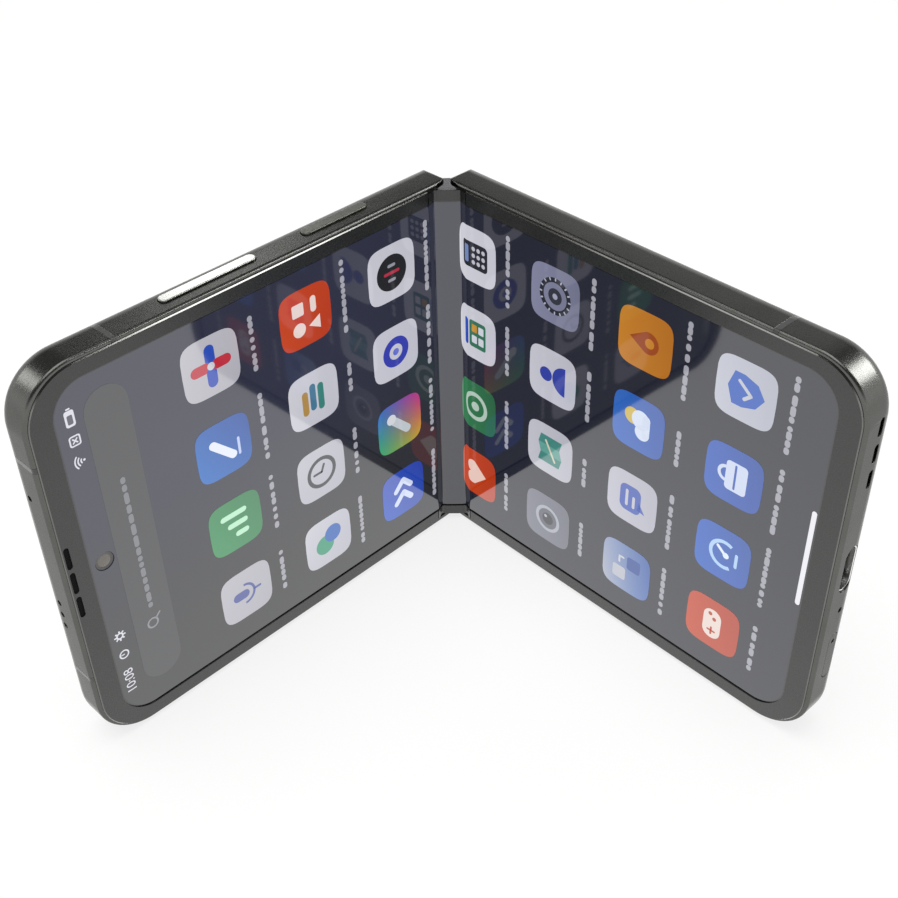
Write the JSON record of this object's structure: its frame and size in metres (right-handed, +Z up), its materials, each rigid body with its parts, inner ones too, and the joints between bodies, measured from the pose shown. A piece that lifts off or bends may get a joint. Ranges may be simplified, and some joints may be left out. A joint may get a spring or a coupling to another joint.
{
  "type": "foldable smartphone",
  "caption": "Clamshell phone with a flexible screen across a geared double-axis hinge, half open on its long edge; side keys, card tray, charging port, rear cameras.",
  "frame": {"origin": "centre of the bounding box, on the long edge that the phone stands on", "axes": "+X across the fold towards the half with the charging port, +Y from the open side towards the hinge spine, +Z up along the fold"},
  "size_m": [0.1236, 0.0644, 0.0743],
  "materials": {
    "spine_metal": "satin anodised",
    "hinge_steel": "sintered steel",
    "gear_brass": "machined",
    "screw_steel": "bright",
    "fold_film": "glossy film over a lit screen",
    "screen_film": "glossy film over a lit screen",
    "flex_film": "copper-coloured film",
    "frame_metal": "blasted and anodised gunmetal",
    "bezel_rubber": "soft matte",
    "carrier_steel": "rolled sheet",
    "cover_finish": "satin gunmetal",
    "battery_wrap": "wrapped foil",
    "board_green": "solder mask",
    "inner_black": "moulded",
    "microphone_gold": "plated",
    "antenna_plastic": "moulded",
    "ring_metal": "turned",
    "camera_glass": "polished, dark",
    "flash_lens": "diffusing"
  },
  "bodies": {
    "hinge": {"hinge_spine_cover": "spine_metal", "hinge_bracket_bottom": "hinge_steel", "hinge_bracket_top": "hinge_steel", "gear_housing": "hinge_steel", "hinge_screws": "screw_steel", "fold_screen": "fold_film", "fold_caps": "bezel_rubber", "flex_cable": "flex_film"},
    "lower_half": {"lower_frame": "frame_metal", "lower_bezel": "bezel_rubber", "lower_screen": "screen_film", "lower_screen_carrier": "carrier_steel", "lower_back_cover": "cover_finish", "lower_hinge_arms": "hinge_steel", "lower_geared_arm": "hinge_steel", "lower_arm_screws": "screw_steel", "lower_battery": "battery_wrap", "usb_board": "board_green", "usb_connector": "carrier_steel", "loudspeaker": "inner_black", "sim_reader": "carrier_steel", "vibration_motor": "carrier_steel", "lower_microphone": "microphone_gold", "lower_flex_socket": "inner_black", "lower_antenna_lines": "antenna_plastic", "usb_board_screws": "screw_steel"},
    "upper_half": {"upper_frame": "frame_metal", "upper_bezel": "bezel_rubber", "upper_screen": "screen_film", "upper_screen_carrier": "carrier_steel", "upper_back_cover": "cover_finish", "upper_hinge_arms": "hinge_steel", "upper_geared_arm": "hinge_steel", "upper_arm_screws": "screw_steel", "upper_battery": "battery_wrap", "main_board": "board_green", "board_shields": "carrier_steel", "main_board_screws": "screw_steel", "key_switches": "carrier_steel", "earpiece": "inner_black", "selfie_camera": "inner_black", "rear_camera_modules": "inner_black", "rear_camera_rings": "ring_metal", "rear_camera_windows": "camera_glass", "flash_window": "flash_lens", "cover_screen": "camera_glass", "upper_flex_socket": "inner_black", "upper_antenna_lines": "antenna_plastic"},
    "power_key": {"power_key": "frame_metal"},
    "volume_key": {"volume_key": "frame_metal"},
    "sim_tray": {"sim_tray": "frame_metal"},
    "lower_idler": {"idler_gear_lower": "gear_brass"},
    "upper_idler": {"idler_gear_upper": "gear_brass"}
  },
  "joints": [
    {"name": "lower_fold", "type": "hinge", "parent": "hinge", "child": "lower_half", "pos_m": [0.00275, 0.02809, 0.037], "axis": [0, 0, 1], "range_deg": [-44, 46], "deforming": ["fold_screen", "fold_caps", "flex_cable"]},
    {"name": "upper_fold", "type": "hinge", "parent": "hinge", "child": "upper_half", "pos_m": [-0.00275, 0.02809, 0.037], "axis": [0, 0, -1], "range_deg": [-44, 46]},
    {"name": "lower_idler_turn", "type": "hinge", "parent": "hinge", "child": "lower_idler", "pos_m": [0.00109, 0.03002, 0.037], "axis": [0, 0, 1], "range_deg": [-62, 59]},
    {"name": "upper_idler_turn", "type": "hinge", "parent": "hinge", "child": "upper_idler", "pos_m": [-0.00109, 0.03002, 0.037], "axis": [0, 0, 1], "range_deg": [-59, 62]},
    {"name": "power_press", "type": "slide", "parent": "upper_half", "child": "power_key", "axis": [0, 0, -1], "range_m": [0, 0.00025], "stiffness_N_per_m": 1500, "springref_m": -0.0004},
    {"name": "volume_press", "type": "slide", "parent": "upper_half", "child": "volume_key", "axis": [0, 0, -1], "range_m": [0, 0.00025], "stiffness_N_per_m": 1500, "springref_m": -0.0004},
    {"name": "tray_slide", "type": "slide", "parent": "lower_half", "child": "sim_tray", "axis": [0.6947, -0.7193, 0], "range_m": [0, 0.02]}
  ],
  "couplings": [
    {"joint": "upper_fold", "follows": "lower_fold", "ratio": 1},
    {"joint": "lower_idler_turn", "follows": "lower_fold", "ratio": -1.3333},
    {"joint": "upper_idler_turn", "follows": "lower_fold", "ratio": 1.3333}
  ]
}
